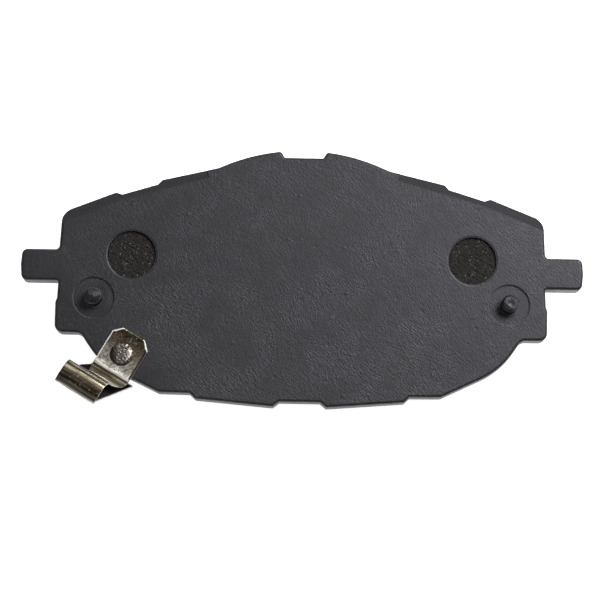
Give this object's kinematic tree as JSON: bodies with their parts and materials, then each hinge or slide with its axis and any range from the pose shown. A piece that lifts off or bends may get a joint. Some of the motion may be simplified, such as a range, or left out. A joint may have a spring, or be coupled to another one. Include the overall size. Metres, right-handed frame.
{
  "type": "disc brake pad",
  "caption": "Front disc brake pad: eared steel backing plate with locating pins, split friction lining on an underlayer, and a riveted spring-steel wear indicator.",
  "frame": {"origin": "centre of the friction face, at mid length and mid height of the backing plate", "axes": "+Z out of the back of the plate, away from the friction face; +Y towards the humped edge; +X towards the right ear seen from the back"},
  "size_m": [0.1404, 0.0646, 0.0213],
  "materials": {
    "coated_steel": "matt black powder coat with a fine wrinkle",
    "underlayer_compound": "moulded friction compound, dark brown, speckled",
    "friction_compound": "ground friction compound, grey, speckled with fibres and grains",
    "spring_steel": "bright rolled spring strip with sheared edges",
    "rivet_steel": "upset rivet head, dimpled"
  },
  "bodies": {
    "root": {"backing_plate": "coated_steel", "underlayer": "underlayer_compound", "lining_block_left": "friction_compound", "lining_block_right": "friction_compound", "left_locating_pin": "coated_steel", "right_locating_pin": "coated_steel", "wear_indicator": "spring_steel", "indicator_rivet": "rivet_steel"}
  },
  "joints": []
}
